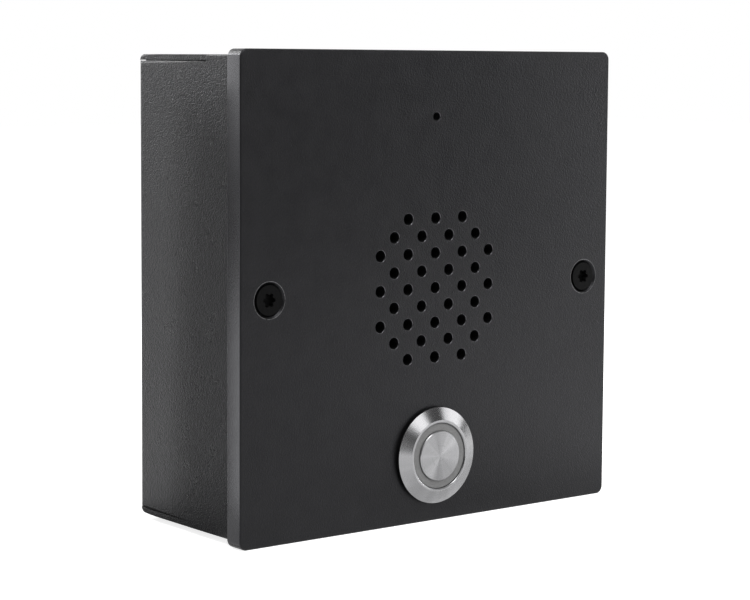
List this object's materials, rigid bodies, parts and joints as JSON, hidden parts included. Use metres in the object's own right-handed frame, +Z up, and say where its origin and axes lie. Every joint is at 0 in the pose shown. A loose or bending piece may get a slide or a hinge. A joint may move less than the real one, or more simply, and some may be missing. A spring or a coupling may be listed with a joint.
{
  "type": "audio intercom panel",
  "caption": "Square surface-mount audio intercom panel: black powder-coated back box and thick faceplate with a drilled speaker grille, microphone hole and ring-lit steel call button.",
  "frame": {"origin": "centre of the back wall's outer face, in the plane that rests on the wall", "axes": "+X to the right seen from the front, +Y into the wall (the front faces -Y), +Z up"},
  "size_m": [0.127, 0.0532, 0.127],
  "materials": {
    "powder_coat": "fine-textured black powder coat",
    "black_steel": "black oxide",
    "stainless": "turned stainless steel",
    "zinc": "zinc plated",
    "soft_iron": "bare machined iron",
    "spring_steel": "drawn wire",
    "brass": "plain brass",
    "copper": "enamelled copper wire",
    "ferrite": "sintered ferrite",
    "rubber": "black rubber",
    "foam": "closed-cell foam",
    "cloth": "black acoustic cloth",
    "spider_cloth": "varnished cloth",
    "paper": "pressed paper",
    "board": "solder-masked board",
    "phenolic": "phenolic sheet",
    "green_plastic": "moulded",
    "blue_plastic": "moulded",
    "can_sleeve": "shrunk sleeve",
    "black_plastic": "moulded",
    "white_plastic": "moulded",
    "diffuser": "translucent grey, unlit",
    "lamp": "clear lamp bodies",
    "red_lead": "insulated wire",
    "white_lead": "insulated wire",
    "dark_lead": "insulated wire"
  },
  "bodies": {
    "panel": {"back_box": "powder_coat", "fixing_brackets": "zinc", "rivet_nuts": "zinc", "cable_bushing": "rubber", "faceplate_gasket": "foam", "faceplate": "powder_coat", "faceplate_screws": "black_steel", "grille_cloth": "cloth", "speaker_gasket": "foam", "speaker_frame": "black_steel", "speaker_surround": "rubber", "spider": "spider_cloth", "front_washer": "soft_iron", "ring_magnet": "ferrite", "pole_yoke": "soft_iron", "terminal_strip": "phenolic", "speaker_tags": "brass", "speaker_studs": "zinc", "speaker_clips": "zinc", "speaker_nuts": "zinc", "microphone_boot": "rubber", "microphone_capsule": "zinc", "board_standoffs": "brass", "circuit_board": "board", "board_screws": "zinc", "terminal_block": "green_plastic", "terminal_screws": "zinc", "relay": "blue_plastic", "capacitors": "can_sleeve", "chips": "black_plastic", "lead_headers": "white_plastic", "speaker_leads": "red_lead", "microphone_leads": "white_lead", "button_leads": "dark_lead", "button_bezel": "stainless", "button_seal": "rubber", "lock_washer": "zinc", "panel_nut": "zinc", "return_spring": "spring_steel", "lamp_board": "white_plastic", "lamps": "lamp", "contact_base": "black_plastic", "fixed_contacts": "brass"},
    "button": {"light_ring": "diffuser", "button_cap": "stainless", "plunger": "black_plastic", "moving_contact": "brass"},
    "cone": {"speaker_cone": "paper", "dust_cap": "paper", "coil_former": "paper", "voice_coil": "copper"}
  },
  "joints": [
    {"name": "button_press", "type": "slide", "parent": "panel", "child": "button", "axis": [0, 1, 0], "range_m": [0, 0.002], "stiffness_N_per_m": 1000, "springref_m": -0.002, "deforming": ["return_spring"]},
    {"name": "cone_travel", "type": "slide", "parent": "panel", "child": "cone", "axis": [0, 1, 0], "range_m": [-0.0008, 0.0008], "stiffness_N_per_m": 1200, "deforming": ["speaker_surround", "spider"]}
  ]
}
